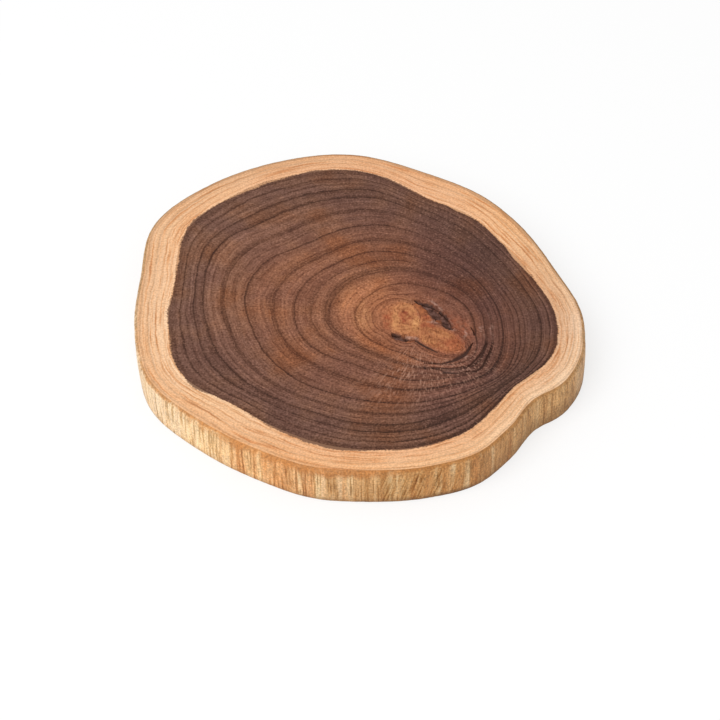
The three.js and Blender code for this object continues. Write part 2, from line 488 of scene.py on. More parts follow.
@dataclass(frozen=True)
class KnotMap:
    """The knot of the fork: its dark lines, its patches of colour and its rings, in millimetres from the
    growth centre. A lobe is its core and its outline."""

    hollows: tuple[Line, ...] = (
        ((-5.0, 21.6, 0.8), (-0.5, 19.0, 1.4), (2.5, 16.2, 2.6), (5.0, 12.4, 3.6), (6.8, 9.3, 2.8),
         (7.9, 7.9, 1.2)),
        ((9.0, 12.8, 1.2), (10.6, 9.0, 2.5), (11.6, 5.4, 2.6), (12.6, 1.9, 2.0), (13.6, -0.6, 1.2),
         (15.2, -1.2, 0.4)),
        ((-17.8, -5.2, 0.8), (-15.4, -7.4, 2.2), (-13.4, -8.8, 2.0), (-11.2, -10.0, 1.2), (-8.6, -10.6, 0.5)))
    # The shakes are sunk into the face and drawn dark as well: partly the cracks' own dark, partly painted
    # shade in them.
    shakes: tuple[Line, ...] = (
        ((-10.0, -10.8, 0.4), (-5.4, -10.6, 0.6), (-3.2, -12.5, 0.7), (1.2, -16.0, 0.7), (6.1, -19.6, 0.4)),
        ((-1.0, -28.6, 0.3), (7.6, -28.6, 0.4), (10.4, -27.8, 0.6), (14.6, -26.2, 0.9), (18.3, -23.9, 1.2),
         (21.6, -21.0, 1.1), (24.1, -16.7, 0.7), (26.1, -12.4, 0.3)),
        ((22.2, -31.4, 0.3), (24.6, -29.1, 0.5), (26.5, -26.5, 0.6), (28.9, -23.2, 0.6), (31.4, -19.3, 0.7),
         (33.2, -15.0, 0.8), (34.2, -12.1, 0.4)),
        ((25.3, -34.8, 0.4), (27.6, -34.0, 0.6), (30.5, -31.1, 0.6), (32.7, -26.5, 0.5), (34.5, -21.9, 0.5),
         (36.1, -17.3, 0.5), (37.2, -12.1, 0.3)),
        ((21.3, -30.7, 0.3), (16.7, -31.7, 0.45), (12.1, -32.3, 0.5), (7.5, -31.7, 0.4), (-1.0, -31.4, 0.3)),
        ((23.5, -34.6, 0.3), (18.9, -35.3, 0.5), (12.9, -35.3, 0.5), (7.4, -34.9, 0.3)),
        ((25.6, 0.2, 0.3), (27.1, -3.8, 0.4), (27.2, -6.1, 0.3)))
    gold: Patches = (
        (0.5, Oval(-11.2, 7.8, 25, 14, 90)), (1.0, Oval(-16.4, 7.4, 17, 4.4, 92)),
        (0.6, Oval(-11, 17, 5, 10, 90)), (1.0, Oval(-5.2, 2.6, 15, 5, 95)),
        (0.5, Oval(3.5, -10.5, 14, 5, -42)), (0.35, Oval(8.5, -5.5, 17, 5, -25)),
        (0.6, Oval(-11.5, -1, 9, 6, 0)), (0.6, Oval(-6.5, 12, 8, 5, 60)), (0.7, Oval(0.8, -10.6, 4, 4, 0)),
        (0.3, Oval(-35, 9, 10, 22, 5)))
    ruddy: Patches = (
        (0.7, Oval(-1.5, 11, 13, 7, -60)), (0.9, Oval(1.2, 1.6, 7, 6, 0)),
        (0.65, Oval(15, -13, 12, 16, -30)), (0.5, Oval(8, -15, 12, 5, -37)),
        (1.0, Oval(-11.5, 8.5, 11, 6, 90)), (0.8, Oval(-21.5, 7, 15, 4.5, 95)),
        (0.45, Oval(19, 1, 20, 9, -65)))
    # Pale marks: pale streaks in the wood, and painted highlights on the lips of the bark pockets.
    pale_streaks_and_lip_highlights: Patches = (
        (0.8, Oval(5.3, 19.4, 5, 1.4, -35)), (0.9, Oval(8.8, 15.6, 5, 1.4, -50)),
        (0.5, Oval(14.6, 5, 7, 1.2, -75)), (0.7, Oval(6, 4.6, 9, 2, -5)), (0.8, Oval(16.2, -2, 3, 1.6, 0)),
        (0.8, Oval(-8.9, -8.2, 5, 2.2, -10)), (0.8, Oval(-5.4, -8.9, 4, 1.8, -30)),
        (0.6, Oval(22.4, -24.5, 4, 1.6, 50)), (0.4, Oval(14.4, -33.4, 18, 1.5, 0)),
        (0.4, Oval(10.3, -30.0, 9, 1.2, 5)), (0.4, Oval(37, 0, 20, 1.0, 92)),
        (0.4, Oval(32, -2, 13, 1.0, 103)), (0.5, Oval(22.1, -5.4, 7, 1.2, 90)))
    lobes: tuple[tuple[Oval, Oval], ...] = (
        (Oval(-11.2, 7.8, 24, 13.5, 90), Oval(-15.5, 8, 28, 25, 105)),
        (Oval(7, -8.5, 25, 12, -37), Oval(8.5, -9.5, 37, 22.5, -37)),
        (Oval(-3.4, 1, 18, 7, 60), Oval(-2.9, 0, 25, 11, 54)))
    core_age: float = 10.0
    knot_age: float = 29.0
    bend: float = 1.4
    bend_size: float = 6.0
    fray: float = 0.7
    fray_size: float = 1.7
    seed: int = 1
    shake_depth: float = 0.9
    hollow_depth: float = 1.3
    skin: float = 1.0

    def bent(self, away: Array) -> Array:
        """Shift points a little here and there, as uneven growth does."""
        noise.seed_set(self.seed)
        spots = [Vector((*spot, 0.0)) for spot in away]
        bends = np.array([noise.noise_vector(spot / self.bend_size) for spot in spots])
        frays = np.array([noise.noise_vector(spot / self.fray_size) for spot in spots])
        return away + (self.bend * bends + self.fray * frays)[:, :2]

    def dark(self, lines: tuple[Line, ...], away: Array, breadth: float = 1.0) -> Array:
        """Give how deep points lie in dark lines.

        Args:
            lines: The hollows or the shakes.
            away: Points from the growth centre.
            breadth: How many times wider than written the lines are.

        Returns:
            Shares from 0 outside to 1 in the middle of a line.
        """
        found = np.zeros(len(away))
        for line in lines:
            smooth = smooth_line(np.array(line), 5)
            for start, end in zip(smooth, smooth[1:]):
                span = (end - start)[:2]
                t = np.clip((away - start[:2]) @ span / (span @ span), 0, 1)
                distance = np.linalg.norm(away - start[:2] - t[:, None] * span, axis=1)
                width = breadth * (start[2] + t * (end[2] - start[2]))
                found = np.maximum(found, 1 - ease(0.4, 1.5, distance / width))
        return found

    def patches(self, ovals: Patches, away: Array) -> Array:
        """Give how strongly patches of colour show at points."""
        return np.maximum.reduce([s * (1 - ease(0.4, 1.6, oval.distance(away))) for s, oval in ovals])

    def ages(self, away: Array) -> Array:
        """Give the age of the ring that each point of the knot lies on, in the lobe that holds it deepest."""
        found = np.full(len(away), self.knot_age)
        for core, outline in self.lobes:
            past = np.maximum(core.distance(away) - 1, 0)
            left = np.maximum(1 - outline.distance(away), 0)
            shell = past / np.maximum(past + left, 1e-6)
            found = np.minimum(found, self.core_age + (self.knot_age - self.core_age) * shell)
        return found

    def mark(self, piece: Piece, away: Array, dark_pockets_and_crack_shade: Array) -> None:
        """Keep the knot's colours on a piece.

        Args:
            piece: A piece of wood in or round the knot.
            away: Its corners from the growth centre.
            dark_pockets_and_crack_shade: How dark each corner is.
        """
        bent = self.bent(away)
        set_attribute(piece, "gold", self.patches(self.gold, bent))
        set_attribute(piece, "ruddy", self.patches(self.ruddy, bent))
        set_attribute(piece, "pale_streaks_and_lip_highlights", self.patches(self.pale_streaks_and_lip_highlights, bent))
        set_attribute(piece, "dark_pockets_and_crack_shade", dark_pockets_and_crack_shade)

    def sink(self, points: Array, away: Array, top: float) -> Array:
        """Sink the shakes and the hollows into a top face.

        Args:
            points: The corners of a piece, which are moved.
            away: The corners from the growth centre.
            top: The height of the top face.

        Returns:
            How dark each corner is: the bark pockets' own dark in the hollows, and in the shakes painted shade
                over the cracks' own dark.
        """
        shake = self.dark(self.shakes, away)
        hollow = self.dark(self.hollows, self.bent(away))
        sunk = np.maximum(shake * self.shake_depth, hollow * self.hollow_depth)
        points[:, 2] -= sunk * (points[:, 2] > top - self.skin)
        return np.maximum(shake, hollow)


@dataclass
class HeartwoodDisc(GrownPiece):
    """The dark heartwood, with the socket that holds the knot and the shakes that opened round it."""

    knot: KnotMap
    near_step: float = 0.3
    near_rows: int = 42
    far_rows: int = 32
    sole_rows: int = 14
    wall_rows: int = 4
    seam_gap: float = 0.01
    edge_ease: float = 0.3
    least_ease: float = 0.01
    rim_share: float = 0.97
    wall_foot: float = 0.5
    wall_breadth: float = 1.8
    sharp: float = 35.0

    def build(self, material: Material) -> Piece:
        """Model the disc and dress it.

        Args:
            material: The finish of the disc.

        Returns:
            The piece.
        """
        growth = self.growth
        top = growth.thickness
        socket, boundary, _ = (loop[::2] for loop in growth.top_loops())
        socket = socket - GROWTH_GAP / 2 + self.seam_gap
        boundary = boundary + GROWTH_GAP / 2 - self.seam_gap
        rim = growth.place(socket, top)[:, :2] - np.array(growth.centre)
        eased = self.least_ease + self.edge_ease * self.knot.dark(self.knot.hollows, rim * self.rim_share)
        near = [eased + k * self.near_step for k in range(self.near_rows + 1)]
        rest = boundary - socket - near[-1]
        far = [near[-1] + rest * share for share in np.linspace(0, 1, self.far_rows + 1)[1:]]
        face = [growth.place(socket + offset, top) for offset in [*near, *far][::-1]]
        drop = np.linspace(top - self.edge_ease, self.wall_foot, self.wall_rows)
        wall = [growth.place(socket, z) for z in drop]
        wall[0][:, 2] = top - eased
        shares = np.linspace(0, 1, self.sole_rows + 1)[1:]
        sole = [growth.place(socket + (boundary - socket) * s, 0.0) for s in shares]
        outer = [growth.place(boundary, top / 2)]
        piece = add_ring("oiled_heartwood", [*outer, *face, *wall, *sole])
        points = corners(piece)
        away = points[:, :2] - growth.middle(points[:, 2])
        # Painted shade on the socket's walls beside the hollows, where they lie in the recess below the face.
        wall_shade = self.knot.dark(self.knot.hollows, away, self.wall_breadth)
        wall_shade *= points[:, 2] < top - self.edge_ease
        dark_pockets_and_crack_shade = self.knot.sink(points, away, top)
        move_corners(piece, points)
        set_attribute(piece, "growth", growth.ages(points))
        self.knot.mark(piece, away, np.maximum(dark_pockets_and_crack_shade, wall_shade))
        return self.finish(piece, material, self.sharp)


class Stem(Enum):
    """The two stems of the fork, by the CAD node of their pith."""

    LEFT = "left_pith"
    RIGHT = "right_pith"


@dataclass
class PithPiece(GrownPiece):
    """The pith of one stem, with the years that it grew alone round its pale core."""

    knot: KnotMap
    stem: Stem
    eye: tuple[float, float]
    segments: int = 360
    face_rows: int = 44
    wall_rows: int = 4
    sole_rows: int = 8
    seam_gap: float = 0.01
    edge_ease: float = 0.01
    sink: float = 0.02
    wall_foot: float = 0.5
    first_step: float = 0.01
    smoothing: int = 14
    sharp: float = 35.0

    def outline(self, rays: Array) -> Array:
        """Find the CAD node's outline at the top face, as seen from the piece's own eye.

        Args:
            rays: Unit directions from the eye.

        Returns:
            The reach of each ray to the outline, in millimetres.
        """
        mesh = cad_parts[self.node].data
        spots = [tuple(round(c / MM, 3) for c in vertex.co) for vertex in mesh.vertices]
        sides = Counter()
        for face in mesh.polygons:
            ring = [spots[v] for v in face.vertices]
            if min(spot[2] for spot in ring) > self.growth.thickness - 0.01:
                sides.update(frozenset(pair) for pair in zip(ring, ring[1:] + ring[:1]))
        rim = np.array([[spot[:2] for spot in pair] for pair, count in sides.items() if count == 1])
        start, end = np.moveaxis(rim - np.array(self.growth.centre) - np.array(self.eye), 1, 0)
        span = end - start
        across = rays[:, :1] * span[:, 1] - rays[:, 1:] * span[:, 0]
        reach = (start[:, 0] * span[:, 1] - start[:, 1] * span[:, 0]) / across
        share = (start[:, 0] * rays[:, 1:] - start[:, 1] * rays[:, :1]) / across
        hit = (share >= 0) & (share <= 1) & (reach > 0)
        near = np.where(hit, reach, np.inf).min(axis=1)
        return smooth_out(near, self.smoothing) + GROWTH_GAP / 2 - self.seam_gap

    def build(self, material: Material) -> Piece:
        """Model the pith and dress it.

        Args:
            material: The finish of the pith.

        Returns:
            The piece.
        """
        growth = self.growth
        top = growth.thickness - self.sink
        turn = (np.arange(self.segments) + self.first_step) / self.segments * FULL_TURN
        rays = np.stack([np.cos(turn), np.sin(turn)], axis=-1)
        reach = self.outline(rays)

        def loop(share: Array | float, height: float) -> Array:
            """Give a loop at a share of the outline's reach, leaning as the trunk did."""
            middle = growth.middle(np.array([height]))[0] + np.array(self.eye)
            flat = middle + (reach * share)[:, None] * rays
            return np.column_stack([flat, np.full(self.segments, height)])

        rim = 1 - self.edge_ease / reach
        face = [loop(rim * s, top) for s in np.linspace(0, 1, self.face_rows + 1)]
        drop = np.linspace(top - self.edge_ease, self.wall_foot, self.wall_rows)
        wall = [loop(1.0, z) for z in drop]
        sole = [loop(rim * s, 0.0) for s in np.linspace(1, 0, self.sole_rows + 1)]
        piece = add_plug(self.stem.value + "_wood", [*face, *wall, *sole])
        points = corners(piece)
        away = points[:, :2] - growth.middle(points[:, 2])
        dark_pockets_and_crack_shade = self.knot.sink(points, away, top)
        move_corners(piece, points)
        set_attribute(piece, "growth", self.knot.ages(self.knot.bent(away)))
        self.knot.mark(piece, away, dark_pockets_and_crack_shade)
        return self.finish(piece, material, self.sharp)


class Crotch(Enum):
    """The two crotches of the fork, by the CAD node of the bark trapped there."""

    UPPER = "upper_bark_pocket"
    LOWER = "lower_bark_pocket"


@dataclass
class BarkPocket(GrownPiece):
    """A pocket of bark that the stems trapped, shrunk below the sanded faces."""

    knot: KnotMap
    crotch: Crotch
    voxel: float = 0.35
    crag_size: float = 3.0
    crag_depth: float = 0.7
    grown_in: float = 1.6
    swell: float = 0.12
    weld: float = 0.001
    crag_layers: int = 3
    # How far below the top face the crests begin to be grown in, and are grown in fully.
    grown_from: float = 6.0
    grown_full: float = 3.0
    sharp: float = 60.0

    def build(self, material: Material) -> Piece:
        """Model the pocket from its CAD node and dress it.

        Args:
            material: The finish of the bark.

        Returns:
            The piece.
        """
        piece = bpy.data.objects.new(self.crotch.value + "_crags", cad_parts[self.node].data.copy())
        bpy.context.scene.collection.objects.link(piece)
        select_only(piece)
        bpy.ops.object.mode_set(mode="EDIT")
        bpy.ops.mesh.select_all(action="SELECT")
        bpy.ops.mesh.remove_doubles(threshold=self.weld * MM)
        bpy.ops.object.mode_set(mode="OBJECT")
        apply_modifier(piece, "REMESH", mode="VOXEL", voxel_size=self.voxel * MM)
        apply_modifier(piece, "DISPLACE", mid_level=0.0, strength=self.swell * MM)
        crags = bpy.data.textures.new(self.crotch.value + "_crags", "CLOUDS")
        crags.noise_scale = self.crag_size * MM
        crags.noise_depth = self.crag_layers
        apply_modifier(piece, "DISPLACE", texture=crags, texture_coords="LOCAL", direction="Z", mid_level=1.0,
            strength=self.crag_depth * MM)
        points = corners(piece)
        away = points[:, :2] - np.array(self.growth.centre)
        hollow = self.knot.dark(self.knot.hollows, self.knot.bent(away))
        top = self.growth.thickness
        upper = ease(top - self.grown_from, top - self.grown_full, points[:, 2])
        points[:, 2] += self.grown_in * (1 - hollow) * upper
        move_corners(piece, points)
        self.knot.mark(piece, away, hollow)
        return self.finish(piece, material, self.sharp)


# Ages, and how many per cent lighter or darker the wood is there.
Rings = tuple[tuple[float, float], ...]


@dataclass(frozen=True)
class WoodNodes:
    """A wood material, the function that adds nodes to it, and the nodes that its finish starts from.

    They give places in millimetres, the bearing from the growth centre in turns past the left, the age of the
    ring, the age with its small wanderings, the pores, the rays, and the streaks that follow the rings.
    """

    material: Material
    add: Callable
    mm: Node
    bearing: Node
    age: bpy.types.NodeSocket
    ring: Node
    pores: Node
    rays: Node
    streaks: Node

    def zoned(self, share: Node, place: Node, stops: dict[float, float]) -> Node:
        """Let a share count in some zones only.

        Args:
            share: The node that gives the share.
            place: The node that gives the bearing.
            stops: How much of the share counts, by the bearing.

        Returns:
            The node that gives what counts.
        """
        zone = self.add("ValToRGB", (place,), stops=stops)
        return self.add("Math", (share, zone), **TIMES)


@dataclass(frozen=True)
class GrownWood:
    """What the board's wood finishes share: their place in the tree, its rings and its pores."""

    growth: GrowthMap
    wander_mm: float = 24.0
    wander_age: float = 1.6
    ripple_mm: float = 6.0
    ripple_age: float = 0.4
    # The real pores are a third of this size and would be lost between the picture's points.
    pore_mm: float = 1.1
    ray_count: float = 45.0
    ray_age: float = 0.16
    streak_count: float = 5.0
    streak_mm: float = 1.45
    soak_age: float = 3.0
    ragged_age: float = 2.0

    def start(self, name: str) -> WoodNodes:
        """Begin a wood material.

        Args:
            name: The material's name.

        Returns:
            The material with its first nodes.
        """
        material, add = new_material(name)
        place = add("TexCoord")
        in_mm = add("Mapping", {"Vector": place.outputs["Object"], "Scale": (1 / MM, 1 / MM, 1 / MM)})
        x, y = self.growth.centre
        centred = add("Mapping", {"Vector": in_mm, "Location": (-x, -y, 0)})
        bearing = add("TexGradient", (centred,), gradient_type="RADIAL")
        age = add("Attribute", attribute_name="growth").outputs["Fac"]
        flat = add("VectorMath", (centred, (1, 1, 0)), **TIMES)
        outward = add("VectorMath", (flat,), operation="NORMALIZE")
        spoke = add("VectorMath", (outward, self.ray_count), operation="SCALE")
        depth = add("CombineXYZ", {"Z": age})
        ray_place = add("VectorMath", (depth, (0, 0, self.ray_age), spoke), **TIMES_PLUS)
        rays = add("TexNoise", (ray_place, 1.0, 1.0))
        wander = add("TexNoise", (in_mm, 1 / self.wander_mm, 2.0))
        ripple = add("TexNoise", (in_mm, 1 / self.ripple_mm, 1.0))
        wide = add("MapRange", (wander, 0.0, 1.0, -self.wander_age, self.wander_age))
        small = add("MapRange", (ripple, 0.0, 1.0, -self.ripple_age, self.ripple_age))
        both = add("Math", (wide, small), **PLUS)
        ring = add("Math", (age, both), **PLUS)
        pores = add("TexNoise", (in_mm, 1 / self.pore_mm, 1.0))
        round_place = add("VectorMath", (outward, self.streak_count), operation="SCALE")
        ring_depth = add("CombineXYZ", {"Z": ring})
        streak_place = add("VectorMath", (ring_depth, (0, 0, 1 / self.streak_mm), round_place),
            **TIMES_PLUS)
        streaks = add("TexNoise", (streak_place, 1.0, 2.0))
        return WoodNodes(material, add, in_mm, bearing, age, ring, pores, rays, streaks)

    def by_age(self, stops: dict[float, str | float]) -> dict[float, str | float]:
        """Turn stops at ages into stops of a ramp over all ages."""
        return {age / self.growth.rim_age: tone for age, tone in stops.items()}

    def ring_tones(self, percents: Rings) -> dict[float, float]:
        """Turn ages and per cents lighter or darker into stops, with one half as neither."""
        return self.by_age({age: 0.5 + percent / 100 for age, percent in percents})

    def edge_age(self, wood: WoodNodes) -> Node:
        """Give the age by which the heartwood ends: ragged, and less where its brown has soaked outward.

        Args:
            wood: The nodes that the finish starts from.

        Returns:
            The node that gives the age.
        """
        soaked = wood.add("ValToRGB", (wood.bearing,), stops={0.044: 0.0, 0.058: 0.83, 0.067: 0.05, 0.1: 0.1,
            0.14: 0.73, 0.16: 0.63, 0.175: 0.87, 0.192: 0.67, 0.208: 0.2, 0.25: 0.27, 0.27: 0.0, 0.32: 0.05,
            0.342: 0.37, 0.36: 0.0, 0.455: 0.0, 0.47: 0.25, 0.51: 0.0, 0.735: 0.0, 0.76: 0.53, 0.805: 0.25,
            0.82: 0.7, 0.837: 0.0, 0.886: 0.0, 0.902: 0.5, 0.918: 0.0, 0.97: 0.0, 0.985: 0.3, 1.0: 0.0})
        ragged = wood.add("Math", (wood.pores, self.ragged_age, wood.ring), **TIMES_PLUS)
        return wood.add("Math", (soaked, -self.soak_age, ragged), **TIMES_PLUS)

    def end(self, wood: WoodNodes, colour: Node, height: Node, roughness: Node, relief_mm: float) -> Material:
        """Close a wood material with its shader.

        Args:
            wood: The nodes that the finish starts from.
            colour: The node that gives its colour.
            height: The node that gives its fine relief, from 0 to 1.
            roughness: The node that gives its roughness.
            relief_mm: The depth of the fine relief.

        Returns:
            The material.
        """
        add = wood.add
        bump = add("Bump", {"Height": height, "Distance": relief_mm * MM, "Strength": 1.0})
        shader = add("BsdfPrincipled", {"Base Color": colour, "Roughness": roughness, "Normal": bump,
            "Specular IOR Level": 0.2})
        add("OutputMaterial", {"Surface": shader})
        return wood.material


@dataclass(frozen=True)
class OiledHeartwood(GrownWood):
    """Brown heartwood, sanded fine and oiled: thin dark latewood lines with a paler band after each, rays
    and pores that show as speckle, and a soft satin gloss. In the knot it turns to mottled gold and rust."""

    name: str = "oiled_heartwood"
    pore_depth: float = 0.06
    knot_rings: Rings = (
        (0, 2), (12, 2), (13, 6), (14.2, -10), (15.8, 9), (17.2, -15), (18.6, 5), (19.8, 13), (21, -15),
        (22.3, 3), (23.6, 13), (24.7, -15), (26, 4), (27.2, 12), (28.4, -12), (29.4, 6), (30.6, -15),
        (31.6, 8), (33, 5), (34.4, -15), (35.2, 5), (37, 6), (38.4, -14), (39.2, 2), (40.4, 0), (41.5, -24),
        (42.4, 2))
    young_rings: Rings = (
        (42.4, 2), (47, 11), (51, 4), (55.5, -6), (57.0, -26), (57.6, -10), (58.5, -10), (59.2, -36),
        (59.9, -4), (62.8, 9), (65.5, 1), (67.4, -18), (68.5, -6), (73, 6), (75.6, -6), (76.8, -38),
        (77.4, 0), (80.5, 9), (84.5, 5), (87.5, -8), (89.3, -19), (91, -6), (97.5, 8), (101, 3))
    old_rings: Rings = (
        (101, 3), (104.5, -6), (105.9, -34), (106.6, -2), (110.5, 9), (113, -7), (114, -2), (117, 5),
        (119.5, -3), (121.8, -19), (124, -5), (126.5, 4), (129, 0), (132.5, 6), (135.4, -5), (136.6, -38),
        (137.3, -10), (139.5, -4), (142.3, -9), (143.4, -26), (144.2, -3), (146.5, 2), (148.3, -10),
        (149.1, 2), (151.3, -3), (152.4, -24), (153.1, -2), (155, 2), (156.4, -10), (158, -12))

    def make(self) -> Material:
        """Build the material."""
        wood = self.start(self.name)
        add = wood.add
        brown = self.browns(wood)
        knotted = self.knot_colours(wood, brown)
        toned = self.grain(wood, knotted)
        flecked = self.flecks(wood, toned)
        # Darkened over the bark pockets' hollows, which is their own colour, and along the shakes, which is
        # partly painted shade in the cracks; on the socket's walls beside the hollows it is painted shade.
        dark_pockets_and_crack_shade = add("Attribute", attribute_name="dark_pockets_and_crack_shade")
        streak_share = add("Math", (wood.streaks, 2.0), **TIMES)
        ragged = add("Math", (dark_pockets_and_crack_shade.outputs["Fac"], streak_share), **TIMES)
        dark = add("MapRange", (ragged, 0.1, 0.9))
        pockets_and_cracks_darkened = add("Mix", (dark, flecked, linear("#42281F")), **BLEND)
        rough = add("MapRange", (wood.pores, 0.0, 1.0, 0.5, 0.7))
        return self.end(wood, pockets_and_cracks_darkened, wood.pores, rough, self.pore_depth)

    def browns(self, wood: WoodNodes) -> Node:
        """Colour the wood by its age, warmer where growth was quick and darker where it was slow.

        Args:
            wood: The nodes that the finish starts from.

        Returns:
            The node that gives the colour.
        """
        add = wood.add
        share = add("Math", (wood.ring, self.growth.rim_age), operation="DIVIDE")
        warm = add("ValToRGB", (share,), stops=self.by_age({29: "#A06646", 38: "#A46B4B", 47: "#A76D4C",
            58: "#926248", 75: "#8F5F47", 98: "#8B5D46", 112: "#875E4A", 130: "#845D4B", 142: "#7C594A",
            158: "#7A5848"}))
        cool = add("ValToRGB", (share,), stops=self.by_age({29: "#845340", 34: "#7C4F3E", 44: "#6A4337",
            58: "#664137", 77: "#634036", 106: "#624138", 136: "#66473C", 158: "#6E4C3E"}))
        side = add("ValToRGB", (wood.bearing,), stops={0.0: 0.15, 0.04: 0.35, 0.1: 0.45, 0.17: 0.45,
            0.22: 0.55, 0.28: 0.75, 0.32: 0.85, 0.375: 1.0, 0.5: 0.85, 0.58: 0.95, 0.68: 1.0, 0.75: 0.7,
            0.8: 0.5, 0.9: 0.0, 1.0: 0.15})
        plain = add("Mix", (side, warm, cool), **BLEND)
        shade = add("ValToRGB", (wood.bearing,), stops={0.25: 1.0, 0.295: 1.05, 0.37: 0.83, 0.42: 0.9,
            0.47: 1.05, 0.52: 1.03, 0.6: 1.0, 0.66: 0.92, 0.73: 1.0})
        blotch = add("TexNoise", (wood.mm, 1 / 28, 3.0))
        tint = add("ValToRGB", (blotch,), stops={0.3: "#DDD6D9", 0.44: "#F3F1F4", 0.55: "#FFFCF4",
            0.68: "#FFEDD0"})
        shaded = add("Mix", (1.0, plain, shade), **TINT)
        out_of_knot = add("MapRange", (wood.age, 28.0, 44.0, 0.3, 1.0))
        tinted = add("Mix", (out_of_knot, shaded, tint), **TINT)
        front_left = add("ValToRGB", (wood.bearing,), stops={0.03: 0.0, 0.09: 1.0, 0.2: 1.0, 0.27: 0.0})
        young = add("MapRange", (wood.age, 50.0, 34.0))
        cooled = add("Math", (front_left, young), **TIMES)
        return add("Mix", (cooled, tinted, linear("#EAECF6")), **TINT)

    def knot_colours(self, wood: WoodNodes, brown: Node) -> Node:
        """Turn the brown to mottled rust and gold in the knot.

        Args:
            wood: The nodes that the finish starts from.
            brown: The node that gives the wood's colour.

        Returns:
            The node that gives the colour.
        """
        add = wood.add
        inside = add("MapRange", (wood.age, 26.0, 15.0))
        lobe = add("Mix", (inside, brown, linear("#AE6D47")), **BLEND)
        mottle = add("TexNoise", (wood.mm, 1 / 3.2, 3.0, 0.6))
        rust_part = add("MapRange", (mottle, 0.35, 0.6))
        gold_part = add("MapRange", (mottle, 0.62, 0.36, 0.35))
        # The pale marks are pale streaks in the wood and, along the lips of the bark pockets, painted
        # highlights.
        for name, part, tone in (("gold", gold_part, "#D69A66"), ("ruddy", rust_part, "#9C4F31"),
                                 ("pale_streaks_and_lip_highlights", gold_part, "#B8968A")):
            patch = add("Attribute", attribute_name=name).outputs["Fac"]
            share = add("Math", (patch, part), **TIMES)
            lobe = add("Mix", (share, lobe, linear(tone)), **BLEND)
        return lobe

    def grain(self, wood: WoodNodes, colour: Node) -> Node:
        """Draw the rings, the streaks between them, the pores and the rays.

        Args:
            wood: The nodes that the finish starts from.
            colour: The node that gives the wood's colour.

        Returns:
            The node that gives the colour.
        """
        add = wood.add
        share = add("Math", (wood.ring, self.growth.rim_age), operation="DIVIDE")
        spans = (self.knot_rings, self.young_rings, self.old_rings)
        tones = [add("ValToRGB", (share,), stops=self.ring_tones(span)) for span in spans]
        two = add("Math", (tones[0], tones[1]), **PLUS)
        three = add("Math", (two, tones[2]), **PLUS)
        joints = sum(0.5 + span[-1][1] / 100 for span in spans[:-1])
        tone = add("Math", (three, joints + 0.5), operation="SUBTRACT")
        fade = add("TexNoise", (wood.mm, 1 / 26, 3.0))
        strength = add("MapRange", (fade, 0.3, 0.7, 2.0, 3.0))
        drawn = add("ValToRGB", (wood.bearing,), stops={0.0: 0.5, 0.15: 0.48, 0.22: 0.7, 0.28: 1.0,
            0.4: 1.0, 0.47: 0.5, 0.68: 0.35, 0.8: 0.45, 1.0: 0.5})
        drawn_twice = add("Math", (drawn, 2.0), **TIMES)
        outside = add("MapRange", (wood.age, 24.0, 32.0, 0.45))
        drawn_here = add("Math", (drawn_twice, outside), **TIMES)
        calm = add("ValToRGB", (wood.bearing,), stops={0.4: 1.0, 0.47: 0.5, 0.72: 0.45, 0.8: 1.0})
        far_off = add("MapRange", (wood.age, 34.0, 48.0))
        calm_here = add("Mix", (far_off, calm, 1.0), data_type="FLOAT")
        calmed = add("Math", (drawn_here, calm_here), **TIMES)
        strength_here = add("Math", (strength, calmed), **TIMES)
        fine = add("TexNoise", (wood.ring, 0.55, 2.0, 0.6), noise_dimensions="1D")
        fine_tone = add("MapRange", (fine, 0.25, 0.75, 0.87, 1.31))
        crowded = add("ValToRGB", (wood.bearing,), stops={0.18: 0.0, 0.26: 0.6, 0.33: 1.0, 0.42: 1.0,
            0.5: 0.9, 0.66: 0.7, 0.78: 0.0})
        bands = add("TexNoise", (wood.ring, 0.2, 2.0, 0.6), noise_dimensions="1D")
        band_swing = add("MapRange", (bands, 0.25, 0.75, -0.6, 0.5))
        band_tone = add("Math", (band_swing, crowded, fine_tone), **TIMES_PLUS)
        ring_sum = add("Math", (tone, strength_here, band_tone), **TIMES_PLUS)
        ring_tone = add("Math", (ring_sum, 0.4), operation="MAXIMUM")
        drawn_out = add("Mapping", {"Vector": wood.mm, "Scale": (1, 0.35, 1)})
        fibres = add("TexNoise", (drawn_out, 1 / 0.9, 2.0))
        fibre_share = add("MapRange", (wood.age, 36.0, 26.0, 0.0, 0.65))
        speck = add("Mix", (fibre_share, wood.pores, fibres), data_type="FLOAT")
        pore_swing = add("Math", (speck, 0.5), operation="SUBTRACT")
        pore_part = wood.zoned(pore_swing, wood.bearing, {0.0: 0.95, 0.3: 1.0, 0.42: 0.85, 0.5: 0.6,
            0.6: 0.65, 0.75: 0.9})
        coarse = add("MapRange", (wood.age, 26.0, 36.0, 2.7, 1.9))
        pore_tone = add("Math", (pore_part, coarse, 1.0), **TIMES_PLUS)
        past_knot = add("MapRange", (wood.age, 27.0, 34.0))
        ray_swing = add("Math", (wood.rays, 0.5), operation="SUBTRACT")
        ray_part = add("Math", (ray_swing, past_knot), **TIMES)
        ray_tone = add("Math", (ray_part, 0.7, 1.0), **TIMES_PLUS)
        speckle = add("Math", (pore_tone, ray_tone), **TIMES)
        all_tone = add("Math", (ring_tone, speckle), **TIMES)
        half_tone = add("Math", (all_tone, 0.5), **TIMES)
        warmth = add("ValToRGB", (half_tone,), stops={0.2: "#FFEAD4", 0.35: "#FFF6EC", 0.5: "#FFFFFF",
            0.7: "#F4FAFF"})
        warmed = add("Mix", (1.0, colour, warmth), **TINT)
        toned = add("Mix", (1.0, warmed, all_tone), **TINT)
        streaks = add("ValToRGB", (wood.streaks,), stops={0.28: "#C6AE9C", 0.42: "#E8DCD2", 0.54: "#FBF7F3",
            0.66: "#FFF6EA", 0.76: "#FFEDD6"})
        return add("Mix", (0.8, toned, streaks), **TINT)

